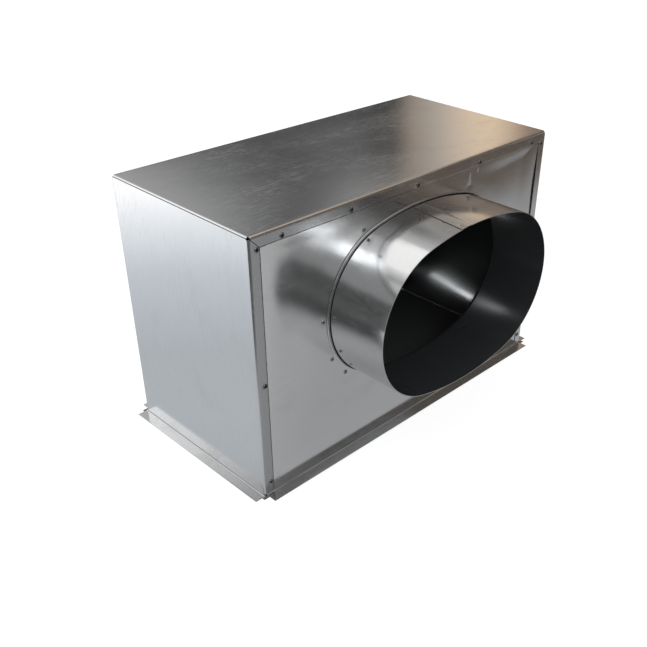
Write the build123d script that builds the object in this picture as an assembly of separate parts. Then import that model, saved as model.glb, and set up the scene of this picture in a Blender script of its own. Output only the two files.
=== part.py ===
from build123d import *
import os
from math import asin, atan2, cos, degrees, radians, sin

# Folded box. X runs along its length, the collar faces -Y and Z is up.
# The origin is the centre of the open bottom, level with the underside of the flanges.
box_width = 600.0  # over the two ends
box_depth = 290.0  # over the front and back lips
box_height = 388.0  # underside of the flanges to the top
sheet = 0.8  # thickness of every sheet
corner_radius = 2.2  # inside radius of the two long top folds
lip_radius = 2.8  # inside radius of the lip folds
flange_radius = 1.6  # inside radius of the flange folds
lip_width = 16.0  # lips turned over the front and back panels
mitre_gap = 1.2  # between a top lip and a side lip, along either
end_flange = 16.0  # flange width outside each end
panel_flange = 17.0  # flange width outside the front and back lips
panel_clearance = 0.5  # panel edge to the start of the lip fold
lip_foot_clearance = 0.6  # side lip to the panel's flange fold below it

# Oval collar: two end arcs and two flatter arcs, tangent to each other
collar_half_width = 179.0  # outside
collar_half_height = 122.0  # outside
collar_side_radius = 382.0  # outside radius of the flat top and bottom arcs
collar_offset = 5.0  # centre, to the right of the box's centre
collar_lip_distance = 23.0  # top of the collar to the free edge of the top lip
collar_length = 98.0  # front lip face to the mouth
hole_clearance = 1.2  # collar to the rim of its hole, all round
rim_height = 3.0  # rim turned out of the front panel
rim_fillet = 1.0  # root of that rim
seam_offset = 28.0  # lap seam, to the left of the collar's centre
seam_lap = 16.0  # lapped width
seam_run_out = 7.0  # where the lap fairs into the wall
lug_width = 32.0  # lugs folded out behind the front panel
lug_length = 19.0
lug_angles = (2, 70, 113, 178, 209, 228, 270, 312, 331)  # normal to the oval, degrees from +X

# Blind rivets
rivet_radius = 1.6
rivet_hole_clearance = 0.05
rivet_head_radius = 3.3
rivet_head_height = 1.0
rivet_head_edge = 0.3
rivet_dome_rise = 0.18  # bulge of the head's slope
rivet_bulb_radius = 2.3
rivet_bulb_length = 3.2
mandrel_radius = 0.9
mandrel_clearance = 0.05
mandrel_head_radius = 1.5
mandrel_head_height = 1.4
mandrel_recess = 0.35  # broken end below the top of the rivet's head
rivet_edge = 4.0  # rivet centre to the free edge of a lip
lug_rivet_distance = 10.0  # rivet centre to the outside of the collar
top_rivet_shares = (0.085, 0.279, 0.492, 0.720, 0.936)  # of the box's width, marked by hand
side_rivet_shares = (0.052, 0.460, 0.953)  # of the box's height

# Derived places
lip_face = box_depth / 2  # outer face of the front and back lips
panel_face = lip_face - sheet  # outer face of the panels
panel_back = panel_face - sheet  # inner face of the panels
end_middle = box_width / 2 - sheet / 2
top_middle = box_height - sheet / 2
straight_half = lip_face - sheet - lip_radius  # where the lip folds begin
corner_run = corner_radius + sheet  # size of a long fold
panel_half = box_width / 2 - sheet - lip_radius - panel_clearance
panel_top = box_height - sheet - lip_radius - panel_clearance
lip_foot = sheet + flange_radius + lip_foot_clearance
lip_rivet_inset = lip_width - rivet_edge
collar_level = box_height - lip_width - collar_lip_distance - collar_half_height  # its centre
side_centre = collar_side_radius - collar_half_height  # arc centres, below and above the collar's centre
end_reach = collar_side_radius**2 - collar_half_width**2 - side_centre**2
collar_end_radius = end_reach / (2 * (collar_side_radius - collar_half_width))  # keeps the arcs tangent
end_centre = collar_half_width - collar_end_radius
end_turn = degrees(atan2(side_centre, end_centre))  # half the turn of an end arc
rivet_grip = 2 * sheet


def folded(points, *inside_radii):
    """Section of a folded sheet, from the corners of its middle line."""
    middle = FilletPolyline(*points, radius=[radius + sheet / 2 for radius in inside_radii])
    return trace(middle, line_width=sheet)


def mirrored_pair(shape, plane):
    return shape + mirror(shape, about=plane)


def across(face, low, high):
    """Extrude a face drawn in X and Z from low to high along Y."""
    return Pos(0, high, 0) * extrude(Plane.XZ * face, high - low)


# Oval outline of the collar


def oval(growth):
    """Face of the collar's outside, grown by a distance, about the collar's axis."""
    end = collar_end_radius + growth
    side = collar_side_radius + growth
    arcs = Curve() + [
        CenterArc((end_centre, 0), end, -end_turn, 2 * end_turn),
        CenterArc((0, -side_centre), side, end_turn, 180 - 2 * end_turn),
        CenterArc((-end_centre, 0), end, 180 - end_turn, 2 * end_turn),
        CenterArc((0, side_centre), side, 180 + end_turn, 180 - 2 * end_turn),
    ]
    return Pos(collar_offset, collar_level) * make_face(arcs)


def oval_ring(outer, inner):
    return oval(outer) - oval(inner)


def oval_point(angle, growth):
    """Point of the grown oval whose normal has this angle, in X and Z."""
    turn = (angle + 180) % 360 - 180
    if abs(turn) <= end_turn:
        centre, radius = (end_centre, 0), collar_end_radius
    elif abs(turn) >= 180 - end_turn:
        centre, radius = (-end_centre, 0), collar_end_radius
    else:
        centre, radius = (0, -side_centre if turn > 0 else side_centre), collar_side_radius
    x = collar_offset + centre[0] + (radius + growth) * cos(radians(turn))
    z = collar_level + centre[1] + (radius + growth) * sin(radians(turn))
    return x, z


# Rivet places, as X and Z in the plane of the front or back


def top_row():
    level = box_height - lip_rivet_inset
    return [((share - 0.5) * box_width, level) for share in top_rivet_shares]


def side_row(side):
    inset = box_width / 2 - lip_rivet_inset
    return [(side * inset, share * box_height) for share in side_rivet_shares]


def lug_row():
    return [oval_point(angle, lug_rivet_distance) for angle in lug_angles]


def lip_rivets():
    return top_row() + side_row(-1) + side_row(1)


def rivet_holes(places):
    """Drills through the whole depth of the box at these places."""
    drill = Circle(rivet_radius + rivet_hole_clearance)
    return across(Sketch() + [Pos(x, z) * drill for x, z in places], -box_depth, box_depth)


# Sheet parts


def lips():
    """The three front lips: the top one between mitres, and one down each side."""
    half_gap = mitre_gap / 2
    top = extrude(Plane.YZ * folded(
        [
            (sheet - straight_half, top_middle),
            (sheet / 2 - lip_face, top_middle),
            (sheet / 2 - lip_face, box_height - lip_width),
        ],
        lip_radius,
    ), box_width / 2, both=True)
    side = extrude(folded(
        [
            (-end_middle, sheet - straight_half),
            (-end_middle, sheet / 2 - lip_face),
            (lip_width - box_width / 2, sheet / 2 - lip_face),
        ],
        lip_radius,
    ), box_height)
    top_blank = Polygon(
        (corner_run + half_gap - box_width / 2, box_height),
        (corner_run + half_gap - box_width / 2, box_height - corner_run),
        (lip_width + half_gap - box_width / 2, box_height - lip_width),
        (box_width / 2 - lip_width - half_gap, box_height - lip_width),
        (box_width / 2 - corner_run - half_gap, box_height - corner_run),
        (box_width / 2 - corner_run - half_gap, box_height),
        align=None,
    )
    side_blank = Polygon(
        (-box_width / 2, lip_foot),
        (lip_width - box_width / 2, lip_foot),
        (lip_width - box_width / 2, box_height - lip_width - half_gap),
        (corner_run - box_width / 2, box_height - corner_run - half_gap),
        (-box_width / 2, box_height - corner_run - half_gap),
        align=None,
    )
    return top & across(top_blank, -lip_face, 0), side & across(side_blank, -lip_face, 0)


def casing_wrap():
    """Top and both ends in one folded sheet, with its lips and end flanges."""
    flange_tip = box_width / 2 + end_flange
    shell = extrude(Plane.XZ * folded(
        [
            (-flange_tip, sheet / 2),
            (-end_middle, sheet / 2),
            (-end_middle, top_middle),
            (end_middle, top_middle),
            (end_middle, sheet / 2),
            (flange_tip, sheet / 2),
        ],
        flange_radius, corner_radius, corner_radius, flange_radius,
    ), straight_half, both=True)
    flange = extrude(Plane.XZ * folded(
        [
            (-flange_tip, sheet / 2),
            (-end_middle, sheet / 2),
            (-end_middle, 2 * sheet + flange_radius),
        ],
        flange_radius,
    ), lip_face, both=True)
    top_lip, side_lip = lips()
    wrap = shell + mirrored_pair(flange, Plane.YZ)
    wrap += mirrored_pair(top_lip, Plane.XZ)
    wrap += mirrored_pair(mirrored_pair(side_lip, Plane.YZ), Plane.XZ)
    return wrap - rivet_holes(lip_rivets())


def flanged_panel():
    """Plain front panel, standing behind the lips on its own flange."""
    middle = sheet / 2 - panel_face
    section = folded(
        [(-lip_face - panel_flange, sheet / 2), (middle, sheet / 2), (middle, panel_top)],
        flange_radius,
    )
    panel = extrude(Plane.YZ * section, panel_half, both=True)
    return panel - rivet_holes(lip_rivets())


def front_panel():
    """Panel with the collar's hole, its rim and the holes for the lug rivets."""
    rim = across(oval_ring(hole_clearance + sheet, hole_clearance), -panel_face - rim_height, -panel_back)
    hole = across(oval(hole_clearance), -lip_face, 0)
    panel = (flanged_panel() - hole) + rim
    root = panel.edges().filter_by(GeomType.CIRCLE)
    root = root.filter_by(lambda edge: abs(edge.center().Y + panel_face) < 0.01 and edge.radius > lug_length)
    return fillet(root, rim_fillet) - rivet_holes(lug_row())


def back_panel():
    return mirror(flanged_panel(), about=Plane.XZ)


def seam_lap_face():
    """Second thickness over the seam, fairing into the wall on its right."""
    start = 90 + degrees(asin(seam_offset / collar_side_radius))
    lap = degrees(seam_lap / collar_side_radius)
    run_out = degrees(seam_run_out / collar_side_radius)
    outer = CenterArc((0, -side_centre), collar_side_radius + sheet, start, -lap)
    inner = CenterArc((0, -side_centre), collar_side_radius - sheet / 2, start - lap - run_out, lap + run_out)
    face = make_face([outer, Line(outer @ 1, inner @ 0), inner, Line(inner @ 1, outer @ 0)])
    return Pos(collar_offset, collar_level) * face


def collar():
    """Oval tube with its lap seam, and lugs folded out behind the front panel."""
    mouth = -lip_face - collar_length
    tube = across(oval_ring(0, -sheet), mouth, -panel_back)
    tube += across(seam_lap_face(), mouth, -panel_face)
    lug_ring = oval_ring(lug_length, -sheet)
    lug_length_over = lug_length + 2 * sheet
    for angle in lug_angles:
        x, z = oval_point(angle, (lug_length - sheet) / 2)
        blank = Pos(x, z) * Rot(0, 0, angle) * Rectangle(lug_length_over, lug_width)
        tube += across(lug_ring & blank, -panel_back, sheet - panel_back)
    return tube - rivet_holes(lug_row())


# Rivets, drawn with the head's seat at the origin and the shank along +Y


def rivet_body():
    bore = mandrel_radius + mandrel_clearance
    tail = rivet_grip + rivet_bulb_length
    crown = (bore + mandrel_recess, -rivet_head_height)
    section = Polyline(
        crown,
        (bore, mandrel_recess - rivet_head_height),
        (bore, tail),
        (rivet_bulb_radius - mandrel_recess, tail),
        (rivet_bulb_radius, tail - 2 * mandrel_recess),
        (rivet_bulb_radius, rivet_grip),
        (rivet_radius, rivet_grip),
        (rivet_radius, 0),
        (rivet_head_radius, 0),
        (rivet_head_radius, -rivet_head_edge),
    )
    dome = SagittaArc((rivet_head_radius, -rivet_head_edge), crown, -rivet_dome_rise)
    return revolve(make_face([section, dome]), Axis.Y)


def rivet_mandrel():
    tail = rivet_grip + rivet_bulb_length
    section = Polyline(
        (0, mandrel_recess - rivet_head_height),
        (mandrel_radius, mandrel_recess - rivet_head_height),
        (mandrel_radius, tail),
        (mandrel_head_radius, tail),
        (mandrel_head_radius, tail + mandrel_head_height / 2),
        (mandrel_head_radius / 2, tail + mandrel_head_height),
        (0, tail + mandrel_head_height),
        close=True,
    )
    return revolve(make_face(section), Axis.Y)


def row_of(piece, places, seat):
    """Copies of a rivet piece with their seats on the front or back face at this Y."""
    turned = piece if seat < 0 else Rot(0, 0, 180) * piece
    return Compound(children=[Pos(x, seat, z) * turned for x, z in places])


rivet_rows = {
    "front_top": (top_row(), -lip_face),
    "front_left": (side_row(-1), -lip_face),
    "front_right": (side_row(1), -lip_face),
    "back_top": (top_row(), lip_face),
    "back_left": (side_row(-1), lip_face),
    "back_right": (side_row(1), lip_face),
    "collar": (lug_row(), -panel_face),
}

parts = {
    "casing_wrap": casing_wrap(),
    "front_panel": front_panel(),
    "back_panel": back_panel(),
    "oval_collar": collar(),
}
for row, (places, seat) in rivet_rows.items():
    parts[f"rivets_{row}"] = row_of(rivet_body(), places, seat)
    parts[f"rivet_mandrels_{row}"] = row_of(rivet_mandrel(), places, seat)

os.makedirs("parts", exist_ok=True)
for name, shape in parts.items():
    export_step(shape, f"parts/{name}.step")
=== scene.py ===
import bmesh
import bpy
import numpy as np
from mathutils import Matrix, Vector


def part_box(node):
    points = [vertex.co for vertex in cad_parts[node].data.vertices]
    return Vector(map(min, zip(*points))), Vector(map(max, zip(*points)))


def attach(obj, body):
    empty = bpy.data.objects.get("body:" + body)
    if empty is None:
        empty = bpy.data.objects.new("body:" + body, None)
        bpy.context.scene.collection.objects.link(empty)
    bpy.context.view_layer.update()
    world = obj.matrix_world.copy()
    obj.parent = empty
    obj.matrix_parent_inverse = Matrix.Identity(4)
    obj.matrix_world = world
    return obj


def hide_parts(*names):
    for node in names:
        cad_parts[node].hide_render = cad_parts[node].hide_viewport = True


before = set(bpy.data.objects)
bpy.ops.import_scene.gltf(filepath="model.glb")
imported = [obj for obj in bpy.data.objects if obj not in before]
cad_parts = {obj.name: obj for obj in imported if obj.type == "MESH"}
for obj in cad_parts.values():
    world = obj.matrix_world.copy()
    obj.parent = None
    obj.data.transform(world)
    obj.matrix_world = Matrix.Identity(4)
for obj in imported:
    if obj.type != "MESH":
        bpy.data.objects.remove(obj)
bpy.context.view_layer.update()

MM = 0.001

# Sizes of the sheet work, in metres. The outline itself comes from the frame's boxes.
SHEET = 0.8 * MM
CORNER_OUTSIDE = 3.0 * MM  # outside radius of the long top folds
LIP_OUTSIDE = 3.6 * MM  # outside radius of the lip folds
FLANGE_INSIDE = 1.6 * MM  # hollow radius above a flange
LIP_WIDTH = 16 * MM
MITRE_GAP = 1.2 * MM
LIP_FOOT = 3.0 * MM
END_FLANGE = 16 * MM
GRID = 3 * MM  # spacing of the sheet grids

wrap_low, wrap_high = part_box("casing_wrap")
panel_low, panel_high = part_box("front_panel")
collar_low, collar_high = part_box("oval_collar")
half_width = wrap_high.x - END_FLANGE
lip_face = wrap_high.y
height = wrap_high.z
panel_half = panel_high.x
panel_top = panel_high.z
flange_tip = -panel_low.y
mouth = collar_low.y
panel_face = lip_face - SHEET
straight_half = lip_face - LIP_OUTSIDE
flange_bend = SHEET + FLANGE_INSIDE

# Oval of the collar: end arcs and flatter arcs, tangent to each other
OVAL_X = 5 * MM
OVAL_Z = 227 * MM
OVAL_HALF_WIDTH = 179 * MM
OVAL_HALF_HEIGHT = 122 * MM
OVAL_SIDE_RADIUS = 382 * MM
HOLE_GAP = 1.2 * MM
RIM_HEIGHT = 3.0 * MM
RIM_ROOT = 1.0 * MM
LUG_LENGTH = 19 * MM
LUG_WIDTH = 32 * MM
LUG_BEND = 1.0 * MM
LUG_ANGLES = (2, 70, 113, 178, 209, 228, 270, 312, 331)
SEAM_BASE = -18 * MM  # X of the seam where the collar leaves the panel
SEAM_MOUTH = -28 * MM  # X of the seam at the mouth
SEAM_LAP = 16 * MM
SEAM_RUN_OUT = 7 * MM
COLLAR_COLUMNS = 640

side_centre = OVAL_SIDE_RADIUS - OVAL_HALF_HEIGHT
end_reach = OVAL_SIDE_RADIUS**2 - OVAL_HALF_WIDTH**2 - side_centre**2
OVAL_END_RADIUS = end_reach / (2 * (OVAL_SIDE_RADIUS - OVAL_HALF_WIDTH))
end_centre = OVAL_HALF_WIDTH - OVAL_END_RADIUS
end_turn = np.arctan2(side_centre, end_centre)


# Shapes worked out on grids


def line(start, end, steps):
    """Points at even steps on a straight line, both ends included."""
    share = np.linspace(0, 1, steps + 1)[:, None]
    return np.array(start) * (1 - share) + np.array(end) * share


def arc(centre, radius, start, end, steps):
    """Points of an arc: the centre plus radius times cosine and sine of even angles, in degrees."""
    angle = np.radians(np.linspace(start, end, steps + 1))
    return np.array(centre) + radius * np.stack([np.cos(angle), np.sin(angle)], -1)


def chain(*runs):
    """Runs joined end to end, with each shared point kept once."""
    return np.concatenate([runs[0]] + [run[1:] for run in runs[1:]])


def lengths(path):
    """Distance along a path at each of its points: the running sum of its steps."""
    return np.concatenate([[0], np.cumsum(np.linalg.norm(np.diff(path, axis=0), axis=1))])


def smooth(value):
    """Smooth step from 0 to 1: 3t squared less 2t cubed, flat outside."""
    t = np.clip(value, 0, 1)
    return t * t * (3 - 2 * t)


def hump(distance, radius):
    """Bell of height 1: e to the minus the square of distance over radius."""
    return np.exp(-((distance / radius) ** 2))


def waves(u, v, seed, count=7, reach=4.0):
    """Slow uneven field from -1 to 1: a sum of plane waves with seeded directions and phases."""
    random = np.random.RandomState(seed)
    total = np.zeros(np.broadcast(u, v).shape)
    for _ in range(count):
        turn, phase, pace = random.uniform(0, 2 * np.pi, 2).tolist() + [random.uniform(1.2, reach)]
        total = total + np.sin(pace * 2 * np.pi * (u * np.cos(turn) + v * np.sin(turn)) + phase)
    return total / count * 1.4


def oval_point(angle, growth):
    """Point of the grown oval whose normal has this angle: centre of that arc plus radius along the normal."""
    turn = (angle + np.pi) % (2 * np.pi) - np.pi
    right, left = np.abs(turn) <= end_turn, np.abs(turn) >= np.pi - end_turn
    x = np.where(right, end_centre, np.where(left, -end_centre, 0))
    z = np.where(right | left, 0, np.where(turn > 0, -side_centre, side_centre))
    radius = np.where(right | left, OVAL_END_RADIUS, OVAL_SIDE_RADIUS) + growth
    return OVAL_X + x + radius * np.cos(turn), OVAL_Z + z + radius * np.sin(turn)


dense_turn = np.linspace(-np.pi, np.pi, 20001)
dense_x, dense_z = oval_point(dense_turn, 0)
dense_length = lengths(np.stack([dense_x, dense_z], -1))
oval_girth = dense_length[-1]


def turn_at(length):
    """Normal's angle at a length along the oval, read back from the table of lengths."""
    return np.interp(length % oval_girth, dense_length, dense_turn)


def length_at(turn):
    return np.interp((turn + np.pi) % (2 * np.pi) - np.pi, dense_turn, dense_length)


def grid_quads(rows, columns, keep, flip):
    """Quads of a grid, facing the cross product of the row and column directions unless flipped."""
    index = np.arange(rows * columns).reshape(rows, columns)
    quads = np.stack([index[:-1, :-1], index[1:, :-1], index[1:, 1:], index[:-1, 1:]], -1)
    quads = quads.reshape(-1, 4) if keep is None else quads[keep]
    return quads[:, ::-1] if flip else quads


class Patch:
    """A grid of points with the place of each on the flat sheet, in metres along and across its rolling."""

    def __init__(self, points, place, keep=None, flip=False):
        self.points, self.place, self.keep, self.flip = points, place, keep, flip

    def mirrored(self, axis):
        points = self.points.copy()
        points[..., axis] *= -1
        return Patch(points, self.place, self.keep, not self.flip)


def sheet_piece(name, patches, materials, marks=None):
    """One folded sheet: welds the patches, then gives them thickness inwards and broken edges.

    marks gives extra point attributes, each a function of the points.
    """
    points, place, quads, start = [], [], [], 0
    for patch in patches:
        rows, columns = patch.points.shape[:2]
        points.append(patch.points.reshape(-1, 3))
        place.append(np.broadcast_to(patch.place, (rows, columns, 2)).reshape(-1, 2))
        quads.append(grid_quads(rows, columns, patch.keep, patch.flip) + start)
        start += rows * columns
    points, place, quads = np.concatenate(points), np.concatenate(place), np.concatenate(quads)
    mesh = bpy.data.meshes.new(name)
    mesh.from_pydata(points.tolist(), [], quads.tolist())
    flat = mesh.attributes.new("sheet_place", "FLOAT_VECTOR", "POINT")
    flat.data.foreach_set("vector", np.column_stack([place, np.zeros(len(place))]).astype(np.float32).ravel())
    for mark, measure in (marks or {}).items():
        mesh.attributes.new(mark, "FLOAT", "POINT").data.foreach_set("value", measure(points).astype(np.float32))
    shape = bmesh.new()
    shape.from_mesh(mesh)
    bmesh.ops.remove_doubles(shape, verts=shape.verts, dist=0.01 * MM)
    bmesh.ops.delete(shape, geom=[v for v in shape.verts if not v.link_faces], context="VERTS")
    shape.to_mesh(mesh)
    shape.free()
    mesh.polygons.foreach_set("use_smooth", [True] * len(mesh.polygons))
    piece = bpy.data.objects.new(name, mesh)
    bpy.context.scene.collection.objects.link(piece)
    for material in materials:
        mesh.materials.append(material)
    wall = piece.modifiers.new("wall", "SOLIDIFY")
    wall.thickness, wall.offset, wall.use_even_offset = SHEET, -1, True
    wall.material_offset, wall.material_offset_rim = 1, 2
    edge = piece.modifiers.new("broken edges", "BEVEL")
    edge.width, edge.segments, edge.limit_method, edge.angle_limit = 0.12 * MM, 1, "ANGLE", np.radians(50)
    shade = piece.modifiers.new("flat faces lead", "WEIGHTED_NORMAL")
    shade.mode, shade.keep_sharp = "FACE_AREA", False
    return piece


# Rivet places, read from the frame


def rivet_places(node, gap=10 * MM):
    """Middle of each rivet of a node: its points sorted round the oval's centre and split at wide gaps."""
    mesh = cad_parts[node].data
    points = np.zeros(len(mesh.vertices) * 3, np.float32)
    mesh.vertices.foreach_get("co", points)
    points = points.reshape(-1, 3).astype(float)
    turn = np.arctan2(points[:, 2] - OVAL_Z, points[:, 0] - OVAL_X)
    order = np.argsort(turn)
    steps = np.linalg.norm(np.diff(points[order][:, [0, 2]], axis=0), axis=1)
    groups = np.split(points[order], np.where(steps > gap)[0] + 1)
    middles = [(group.min(0) + group.max(0)) / 2 for group in groups]
    return np.array(middles)


rivet_nodes = [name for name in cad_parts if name.startswith("rivets_")]
lip_rivets = np.concatenate([rivet_places(name) for name in rivet_nodes if name != "rivets_collar"])
collar_rivets = rivet_places("rivets_collar")


def distance_to(rivets, points):
    """Distance to the nearest of these rivets' axes, with front and back rivets kept apart."""
    apart = points[:, None, [0, 2]] - rivets[None][:, :, [0, 2]]
    far = np.abs(points[:, None, 1] - rivets[None, :, 1]) > 30 * MM
    return (np.linalg.norm(apart, axis=-1) + far).min(1)


def rivet_distance(points):
    return distance_to(lip_rivets, points)


def shoulder_haze(points):
    """Dulled patch above the collar's left shoulder: a bell 40 mm wide and 26 mm high, leaning with the collar."""
    across, up = points[:, 0] + 184 * MM, points[:, 2] - 361 * MM
    along, off = across * 0.9 - up * 0.43, across * 0.43 + up * 0.9
    return hump(np.hypot(along / 40, off / 26), MM) * (points[:, 1] < 0)


def painted_rivet_glints(points):
    """Painted highlights under the lips' rivets: lighter, duller spots for the glints of the dents the rivets pull,
    each of its own strength: bells 1.8 mm wide and 2.6 mm high.
    """
    strength = np.random.RandomState(8).uniform(0.1, 1.0, len(lip_rivets))
    across = points[:, None, 0] - lip_rivets[None, :, 0] + 0.8 * MM
    up = points[:, None, 2] - lip_rivets[None, :, 2] + 4.6 * MM
    same_side = np.abs(points[:, None, 1] - lip_rivets[None, :, 1]) < 30 * MM
    return (strength * same_side * hump(np.hypot(across / 1.8, up / 2.6), MM)).max(1)


# Blind rivets: head, bore and bulb turned about the axis


HEAD_RADIUS = 3.3 * MM
HEAD_HEIGHT = 1.0 * MM
BORE_RADIUS = 0.95 * MM
DISH_RADIUS = 2.0 * MM
GRIP = 2 * SHEET  # lip and panel, or panel and lug
BULB_RADIUS = 2.3 * MM
BULB_LENGTH = 3.2 * MM


def rivet_section():
    """Radius and depth of one rivet, from the bulb round the head into the dished bore. Depth is inwards from the seat."""
    tail = GRIP + BULB_LENGTH
    bulb = chain(
        line((BORE_RADIUS, tail), (BULB_RADIUS - 0.5 * MM, tail), 1),
        arc((BULB_RADIUS - 0.5 * MM, tail - 0.5 * MM), 0.5 * MM, 90, 0, 3),
        line((BULB_RADIUS, tail - 0.5 * MM), (BULB_RADIUS, GRIP + 0.02 * MM), 2),
        line((BULB_RADIUS, GRIP + 0.02 * MM), (1.6 * MM, GRIP), 1),
        line((1.6 * MM, GRIP), (1.6 * MM, 0), 1),
        line((1.6 * MM, 0), (HEAD_RADIUS - 0.15 * MM, 0), 1),
    )
    rim = arc((HEAD_RADIUS - 0.15 * MM, -0.15 * MM), 0.15 * MM, 90, -30, 4)
    share = np.linspace(0, 1, 7)[:, None]
    crown = np.array((DISH_RADIUS, -HEAD_HEIGHT))
    dome = rim[-1] * (1 - share) + crown * share + (0, -0.16 * MM) * np.sin(np.pi * share) ** 1.0
    dish = chain(
        line(crown, (DISH_RADIUS - 0.25 * MM, 0.3 * MM - HEAD_HEIGHT), 3),
        line((DISH_RADIUS - 0.25 * MM, 0.3 * MM - HEAD_HEIGHT), (BORE_RADIUS, 0.55 * MM - HEAD_HEIGHT), 3),
        line((BORE_RADIUS, 0.55 * MM - HEAD_HEIGHT), (BORE_RADIUS, tail), 2),
    )
    return chain(bulb, rim, dome, dish)


def rivet_piece(name, places, seat, facing, material):
    """Rivets of one row: the section turned about each axis, with a little tilt of its own.

    A point is its place plus radius times cosine and sine of the turn, and facing times depth along Y.
    """
    section = rivet_section()
    radius, depth = section[:, :1, None], section[:, 1:, None]
    turn = np.linspace(0, 2 * np.pi, 37)[None, :, None]
    random = np.random.RandomState(len(places) * 7 + int(facing < 0))
    lean, heading = random.uniform(0.0, 0.035, len(places)), random.uniform(0, 2 * np.pi, len(places))
    outer = np.clip(-depth / HEAD_HEIGHT, 0, 1)
    high = depth - outer * lean * radius * np.cos(turn - heading)
    x = places[:, 0] + radius * np.cos(turn)
    z = places[:, 2] + radius * np.sin(turn)
    y = seat - facing * high
    x, y, z, radial = np.broadcast_arrays(x, y, z, radius)
    rows, columns, count = x.shape
    keep = np.arange(columns) % (columns - 1)
    index = np.arange(rows * columns).reshape(rows, columns)[:, keep]
    ring = np.stack([index[:-1, :-1], index[1:, :-1], index[1:, 1:], index[:-1, 1:]], -1).reshape(-1, 4)
    quads = (ring[None] + np.arange(count)[:, None, None] * rows * columns).reshape(-1, 4)
    points = np.stack([x, y, z], -1).transpose(2, 0, 1, 3).reshape(-1, 3)
    mesh = bpy.data.meshes.new(name)
    mesh.from_pydata(points.tolist(), [], (quads if facing < 0 else quads[:, ::-1]).tolist())
    spread = radial.transpose(2, 0, 1).reshape(-1)
    mesh.attributes.new("axis_distance", "FLOAT", "POINT").data.foreach_set("value", spread.astype(np.float32))
    shape = bmesh.new()
    shape.from_mesh(mesh)
    bmesh.ops.delete(shape, geom=[v for v in shape.verts if not v.link_faces], context="VERTS")
    bmesh.ops.recalc_face_normals(shape, faces=shape.faces)
    shape.to_mesh(mesh)
    shape.free()
    mesh.polygons.foreach_set("use_smooth", [True] * len(mesh.polygons))
    mesh.materials.append(material)
    piece = bpy.data.objects.new(name, mesh)
    bpy.context.scene.collection.objects.link(piece)
    shade = piece.modifiers.new("flat faces lead", "WEIGHTED_NORMAL")
    shade.mode, shade.keep_sharp = "FACE_AREA", False
    return piece


# The casing wrap: top and ends in one sheet


side_levels = np.concatenate([[flange_bend], np.linspace(
    LIP_FOOT, height - CORNER_OUTSIDE - MITRE_GAP / 2, round(height / GRID)), [height - CORNER_OUTSIDE]])
lip_end = half_width - CORNER_OUTSIDE - MITRE_GAP / 2
top_places = np.linspace(-lip_end, lip_end, round(2 * lip_end / GRID))
depth_places = np.linspace(-straight_half, straight_half, 48)


def wrap_profile():
    """Outer face of the wrap in X and Z: left flange, bend, end, fold, top, and the same mirrored."""
    left = chain(
        line((-wrap_high.x, SHEET), (-half_width - FLANGE_INSIDE, SHEET), 5),
        arc((-half_width - FLANGE_INSIDE, flange_bend), FLANGE_INSIDE, -90, 0, 6),
        np.column_stack([np.full(len(side_levels), -half_width), side_levels]),
        arc((CORNER_OUTSIDE - half_width, height - CORNER_OUTSIDE), CORNER_OUTSIDE, 180, 90, 8),
    )
    top = np.column_stack([top_places, np.full(len(top_places), height)])
    return np.concatenate([left, top, left[::-1] * (-1, 1)])


def lip_profile(corner, width):
    """Section of a lip: quarter turn of the fold, then flat across the lip. Returns inset and depth."""
    bend = arc((corner, straight_half), LIP_OUTSIDE, 180, 90, 6)
    return chain(bend, line((corner, lip_face), (width, lip_face), 5))


def wrap_patches():
    """Shell, flange ends and lips, with the lips' ends cut along the mitre."""
    profile = wrap_profile()
    along = lengths(profile)
    x, y = np.broadcast_arrays(profile[:, :1], depth_places[None])
    z = np.broadcast_to(profile[:, 1:], x.shape)
    place = np.stack(np.broadcast_arrays(along[:, None], depth_places[None]), -1)
    patches = [Patch(np.stack([x, y, z], -1), place)]
    flange = 12
    strip = np.linspace(-lip_face, -straight_half, 3)
    fx, fy = np.broadcast_arrays(profile[:flange, :1], strip[None])
    fz = np.broadcast_to(profile[:flange, 1:], fx.shape)
    end = Patch(np.stack([fx, fy, fz], -1), np.stack([np.broadcast_to(along[:flange, None], fx.shape), fy], -1))
    patches += [end, end.mirrored(0), end.mirrored(1), end.mirrored(0).mirrored(1)]
    section = lip_profile(LIP_OUTSIDE, LIP_WIDTH)
    inset, depth = section[:, :1], section[:, 1:]
    cut = np.maximum(inset - CORNER_OUTSIDE, 0)
    reach = lip_end - cut
    lx = top_places[None] / lip_end * reach
    top = np.stack(np.broadcast_arrays(lx, -depth, height - inset), -1)
    top_lip = Patch(top, np.stack(np.broadcast_arrays(lx + 0.7, depth + inset), -1))
    levels = side_levels[1:-1]
    foot, head = levels[0], levels[-1] - cut
    lz = foot + (levels[None] - foot) / (levels[-1] - foot) * (head - foot)
    side = np.stack(np.broadcast_arrays(inset - half_width, -depth, lz), -1)
    side_lip = Patch(side, np.stack(np.broadcast_arrays(lz, depth + inset), -1))
    patches += [top_lip, top_lip.mirrored(1)]
    patches += [side_lip, side_lip.mirrored(0), side_lip.mirrored(1), side_lip.mirrored(0).mirrored(1)]
    return patches


def window(value, half):
    """1 in the middle and 0, with no slope, at plus and minus half: the square of 1 less the square."""
    return np.clip(1 - (value / half) ** 2, 0, 1) ** 2


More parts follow.
